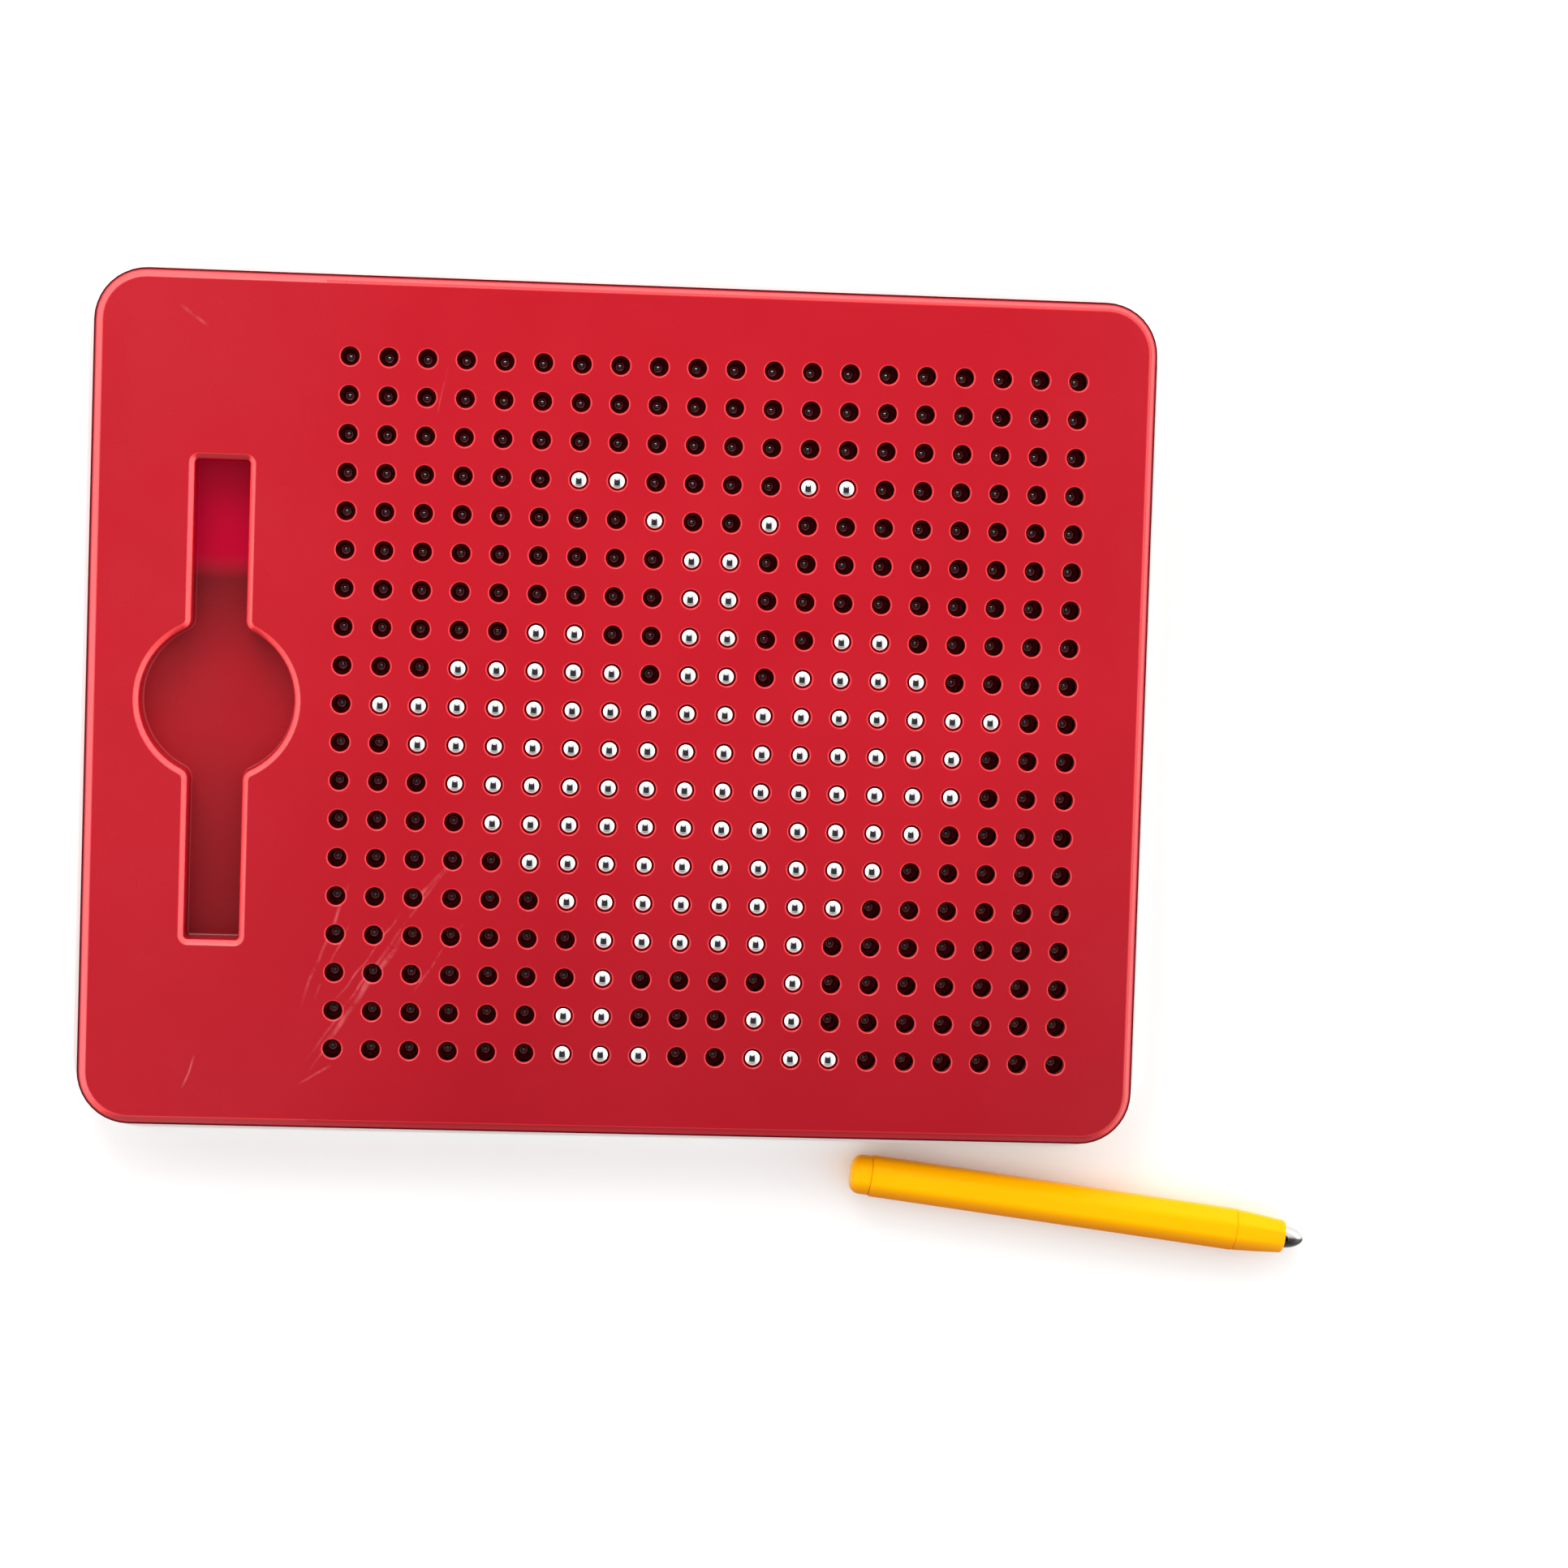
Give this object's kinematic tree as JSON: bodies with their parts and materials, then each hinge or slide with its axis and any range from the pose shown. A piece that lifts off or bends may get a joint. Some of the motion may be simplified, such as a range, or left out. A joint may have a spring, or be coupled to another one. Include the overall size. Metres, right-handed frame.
{
  "type": "bead drawing board",
  "caption": "Flat drawing board with a grid of captive steel beads in flared holes, a keyhole recess and a loose magnetic stylus.",
  "frame": {"origin": "middle of the flat back of the case", "axes": "+X to the right along the long side, +Y up the board, +Z out of the face that is drawn on"},
  "size_m": [0.3122, 0.2408, 0.0162],
  "materials": {
    "red_cover": "satin moulded plastic with fine scuffs",
    "red_inner": "moulded plastic",
    "grip_sheet": "thin soft sheet",
    "floor_pad": "matte foam sheet",
    "white_cover": "satin moulded plastic",
    "screw_steel": "bright zinc",
    "bead_steel": "polished steel",
    "yellow_plastic": "satin moulded plastic",
    "magnet": "plated magnet",
    "tip_steel": "polished steel"
  },
  "bodies": {
    "case": {"front_cover": "red_cover", "cell_plate": "red_inner", "grip_sheet": "grip_sheet", "floor_pad": "floor_pad", "back_cover": "white_cover", "case_screws": "screw_steel"},
    "raised_row_04": {"raised_beads_row_04": "bead_steel"},
    "raised_row_05": {"raised_beads_row_05": "bead_steel"},
    "raised_row_06": {"raised_beads_row_06": "bead_steel"},
    "raised_row_07": {"raised_beads_row_07": "bead_steel"},
    "raised_row_08": {"raised_beads_row_08": "bead_steel"},
    "raised_row_09": {"raised_beads_row_09": "bead_steel"},
    "raised_row_10": {"raised_beads_row_10": "bead_steel"},
    "raised_row_11": {"raised_beads_row_11": "bead_steel"},
    "raised_row_12": {"raised_beads_row_12": "bead_steel"},
    "raised_row_13": {"raised_beads_row_13": "bead_steel"},
    "raised_row_14": {"raised_beads_row_14": "bead_steel"},
    "raised_row_15": {"raised_beads_row_15": "bead_steel"},
    "raised_row_16": {"raised_beads_row_16": "bead_steel"},
    "raised_row_17": {"raised_beads_row_17": "bead_steel"},
    "raised_row_18": {"raised_beads_row_18": "bead_steel"},
    "raised_row_19": {"raised_beads_row_19": "bead_steel"},
    "lowered_row_01": {"lowered_beads_row_01": "bead_steel"},
    "lowered_row_02": {"lowered_beads_row_02": "bead_steel"},
    "lowered_row_03": {"lowered_beads_row_03": "bead_steel"},
    "lowered_row_04": {"lowered_beads_row_04": "bead_steel"},
    "lowered_row_05": {"lowered_beads_row_05": "bead_steel"},
    "lowered_row_06": {"lowered_beads_row_06": "bead_steel"},
    "lowered_row_07": {"lowered_beads_row_07": "bead_steel"},
    "lowered_row_08": {"lowered_beads_row_08": "bead_steel"},
    "lowered_row_09": {"lowered_beads_row_09": "bead_steel"},
    "lowered_row_10": {"lowered_beads_row_10": "bead_steel"},
    "lowered_row_11": {"lowered_beads_row_11": "bead_steel"},
    "lowered_row_12": {"lowered_beads_row_12": "bead_steel"},
    "lowered_row_13": {"lowered_beads_row_13": "bead_steel"},
    "lowered_row_14": {"lowered_beads_row_14": "bead_steel"},
    "lowered_row_15": {"lowered_beads_row_15": "bead_steel"},
    "lowered_row_16": {"lowered_beads_row_16": "bead_steel"},
    "lowered_row_17": {"lowered_beads_row_17": "bead_steel"},
    "lowered_row_18": {"lowered_beads_row_18": "bead_steel"},
    "lowered_row_19": {"lowered_beads_row_19": "bead_steel"},
    "stylus": {"stylus_barrel": "yellow_plastic", "stylus_end_cap": "yellow_plastic", "stylus_nose": "yellow_plastic", "stylus_magnet": "magnet", "stylus_tip": "tip_steel"}
  },
  "joints": [
    {"name": "raised_row_04_slide", "type": "slide", "parent": "case", "child": "raised_row_04", "axis": [0, 0, 1], "range_m": [-0.007, 0], "deforming": ["grip_sheet"]},
    {"name": "raised_row_05_slide", "type": "slide", "parent": "case", "child": "raised_row_05", "axis": [0, 0, 1], "range_m": [-0.007, 0], "deforming": ["grip_sheet"]},
    {"name": "raised_row_06_slide", "type": "slide", "parent": "case", "child": "raised_row_06", "axis": [0, 0, 1], "range_m": [-0.007, 0], "deforming": ["grip_sheet"]},
    {"name": "raised_row_07_slide", "type": "slide", "parent": "case", "child": "raised_row_07", "axis": [0, 0, 1], "range_m": [-0.007, 0], "deforming": ["grip_sheet"]},
    {"name": "raised_row_08_slide", "type": "slide", "parent": "case", "child": "raised_row_08", "axis": [0, 0, 1], "range_m": [-0.007, 0], "deforming": ["grip_sheet"]},
    {"name": "raised_row_09_slide", "type": "slide", "parent": "case", "child": "raised_row_09", "axis": [0, 0, 1], "range_m": [-0.007, 0], "deforming": ["grip_sheet"]},
    {"name": "raised_row_10_slide", "type": "slide", "parent": "case", "child": "raised_row_10", "axis": [0, 0, 1], "range_m": [-0.007, 0], "deforming": ["grip_sheet"]},
    {"name": "raised_row_11_slide", "type": "slide", "parent": "case", "child": "raised_row_11", "axis": [0, 0, 1], "range_m": [-0.007, 0], "deforming": ["grip_sheet"]},
    {"name": "raised_row_12_slide", "type": "slide", "parent": "case", "child": "raised_row_12", "axis": [0, 0, 1], "range_m": [-0.007, 0], "deforming": ["grip_sheet"]},
    {"name": "raised_row_13_slide", "type": "slide", "parent": "case", "child": "raised_row_13", "axis": [0, 0, 1], "range_m": [-0.007, 0], "deforming": ["grip_sheet"]},
    {"name": "raised_row_14_slide", "type": "slide", "parent": "case", "child": "raised_row_14", "axis": [0, 0, 1], "range_m": [-0.007, 0], "deforming": ["grip_sheet"]},
    {"name": "raised_row_15_slide", "type": "slide", "parent": "case", "child": "raised_row_15", "axis": [0, 0, 1], "range_m": [-0.007, 0], "deforming": ["grip_sheet"]},
    {"name": "raised_row_16_slide", "type": "slide", "parent": "case", "child": "raised_row_16", "axis": [0, 0, 1], "range_m": [-0.007, 0], "deforming": ["grip_sheet"]},
    {"name": "raised_row_17_slide", "type": "slide", "parent": "case", "child": "raised_row_17", "axis": [0, 0, 1], "range_m": [-0.007, 0], "deforming": ["grip_sheet"]},
    {"name": "raised_row_18_slide", "type": "slide", "parent": "case", "child": "raised_row_18", "axis": [0, 0, 1], "range_m": [-0.007, 0], "deforming": ["grip_sheet"]},
    {"name": "raised_row_19_slide", "type": "slide", "parent": "case", "child": "raised_row_19", "axis": [0, 0, 1], "range_m": [-0.007, 0], "deforming": ["grip_sheet"]},
    {"name": "lowered_row_01_slide", "type": "slide", "parent": "case", "child": "lowered_row_01", "axis": [0, 0, 1], "range_m": [0, 0.007], "deforming": ["grip_sheet"]},
    {"name": "lowered_row_02_slide", "type": "slide", "parent": "case", "child": "lowered_row_02", "axis": [0, 0, 1], "range_m": [0, 0.007], "deforming": ["grip_sheet"]},
    {"name": "lowered_row_03_slide", "type": "slide", "parent": "case", "child": "lowered_row_03", "axis": [0, 0, 1], "range_m": [0, 0.007], "deforming": ["grip_sheet"]},
    {"name": "lowered_row_04_slide", "type": "slide", "parent": "case", "child": "lowered_row_04", "axis": [0, 0, 1], "range_m": [0, 0.007], "deforming": ["grip_sheet"]},
    {"name": "lowered_row_05_slide", "type": "slide", "parent": "case", "child": "lowered_row_05", "axis": [0, 0, 1], "range_m": [0, 0.007], "deforming": ["grip_sheet"]},
    {"name": "lowered_row_06_slide", "type": "slide", "parent": "case", "child": "lowered_row_06", "axis": [0, 0, 1], "range_m": [0, 0.007], "deforming": ["grip_sheet"]},
    {"name": "lowered_row_07_slide", "type": "slide", "parent": "case", "child": "lowered_row_07", "axis": [0, 0, 1], "range_m": [0, 0.007], "deforming": ["grip_sheet"]},
    {"name": "lowered_row_08_slide", "type": "slide", "parent": "case", "child": "lowered_row_08", "axis": [0, 0, 1], "range_m": [0, 0.007], "deforming": ["grip_sheet"]},
    {"name": "lowered_row_09_slide", "type": "slide", "parent": "case", "child": "lowered_row_09", "axis": [0, 0, 1], "range_m": [0, 0.007], "deforming": ["grip_sheet"]},
    {"name": "lowered_row_10_slide", "type": "slide", "parent": "case", "child": "lowered_row_10", "axis": [0, 0, 1], "range_m": [0, 0.007], "deforming": ["grip_sheet"]},
    {"name": "lowered_row_11_slide", "type": "slide", "parent": "case", "child": "lowered_row_11", "axis": [0, 0, 1], "range_m": [0, 0.007], "deforming": ["grip_sheet"]},
    {"name": "lowered_row_12_slide", "type": "slide", "parent": "case", "child": "lowered_row_12", "axis": [0, 0, 1], "range_m": [0, 0.007], "deforming": ["grip_sheet"]},
    {"name": "lowered_row_13_slide", "type": "slide", "parent": "case", "child": "lowered_row_13", "axis": [0, 0, 1], "range_m": [0, 0.007], "deforming": ["grip_sheet"]},
    {"name": "lowered_row_14_slide", "type": "slide", "parent": "case", "child": "lowered_row_14", "axis": [0, 0, 1], "range_m": [0, 0.007], "deforming": ["grip_sheet"]},
    {"name": "lowered_row_15_slide", "type": "slide", "parent": "case", "child": "lowered_row_15", "axis": [0, 0, 1], "range_m": [0, 0.007], "deforming": ["grip_sheet"]},
    {"name": "lowered_row_16_slide", "type": "slide", "parent": "case", "child": "lowered_row_16", "axis": [0, 0, 1], "range_m": [0, 0.007], "deforming": ["grip_sheet"]},
    {"name": "lowered_row_17_slide", "type": "slide", "parent": "case", "child": "lowered_row_17", "axis": [0, 0, 1], "range_m": [0, 0.007], "deforming": ["grip_sheet"]},
    {"name": "lowered_row_18_slide", "type": "slide", "parent": "case", "child": "lowered_row_18", "axis": [0, 0, 1], "range_m": [0, 0.007], "deforming": ["grip_sheet"]},
    {"name": "lowered_row_19_slide", "type": "slide", "parent": "case", "child": "lowered_row_19", "axis": [0, 0, 1], "range_m": [0, 0.007], "deforming": ["grip_sheet"]},
    {"name": "stylus_lift", "type": "slide", "parent": "case", "child": "stylus", "axis": [0, 0, 1], "range_m": [0, 0.06]}
  ]
}
